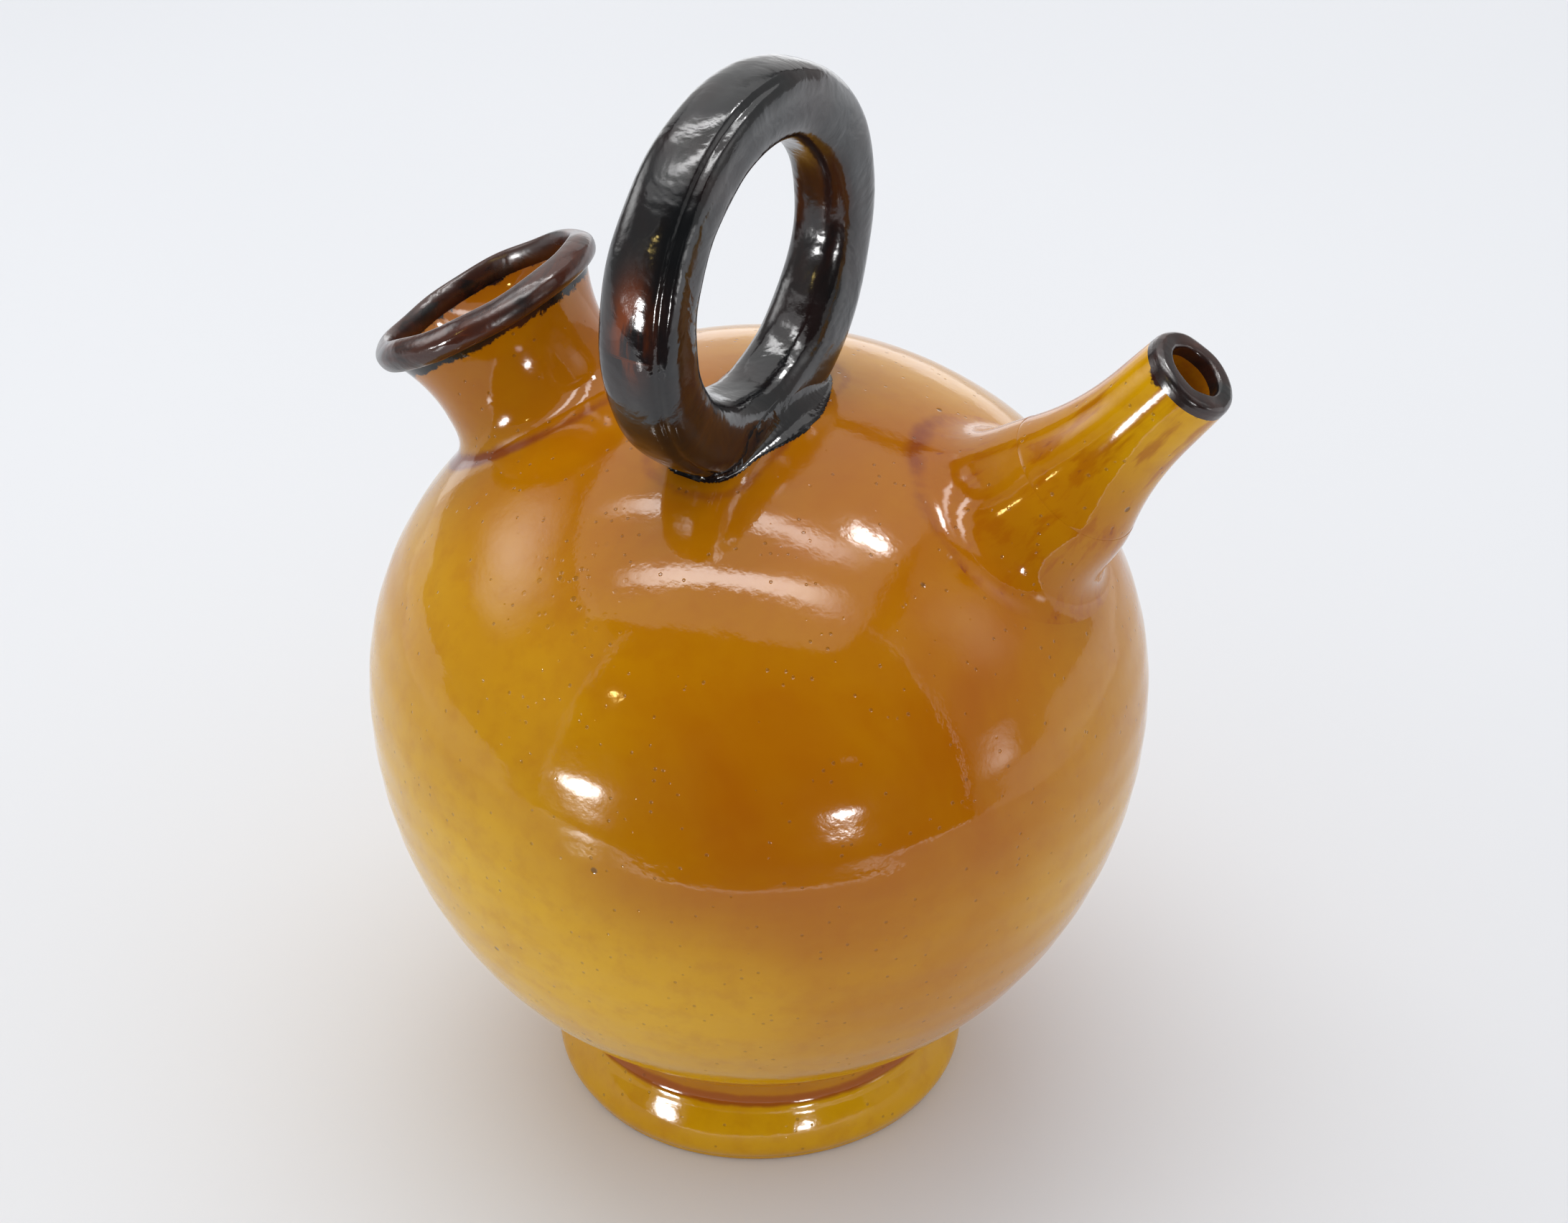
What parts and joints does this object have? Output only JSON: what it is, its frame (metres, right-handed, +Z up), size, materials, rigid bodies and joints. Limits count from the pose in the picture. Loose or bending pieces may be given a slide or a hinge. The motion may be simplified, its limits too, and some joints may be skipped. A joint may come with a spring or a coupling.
{
  "type": "ring-handled drinking jug",
  "caption": "Round-bellied glazed jug on a foot ring, with a wide filling mouth, a narrow pouring spout and an upright ring handle on top.",
  "frame": {"origin": "middle of the flat underside that the jug stands on, on the axis of the round body", "axes": "+Z up along the body's axis, +X towards the drinking spout, +Y to the left of the spout as seen from behind the jug"},
  "size_m": [0.1369, 0.125, 0.1859],
  "materials": {
    "honey_glaze": "glossy transparent honey-yellow lead-type glaze over buff clay, with fine specks and darker pools",
    "foot_glaze": "the same glossy honey glaze, thinner and yellower on the foot",
    "pooled_glaze": "glossy honey glaze pooled red-brown where pieces are luted together",
    "dark_glaze": "glossy brown-black glaze, red-brown where it runs thin"
  },
  "bodies": {
    "root": {"lower_bowl": "honey_glaze", "upper_dome": "honey_glaze", "foot_ring": "foot_glaze", "foot_luting_coil": "pooled_glaze", "mouth_neck": "honey_glaze", "mouth_lip": "dark_glaze", "mouth_luting_coil": "pooled_glaze", "spout_tube": "honey_glaze", "spout_tip": "dark_glaze", "spout_luting_coil": "honey_glaze", "ring_handle": "dark_glaze", "handle_luting_coil": "dark_glaze"}
  },
  "joints": []
}
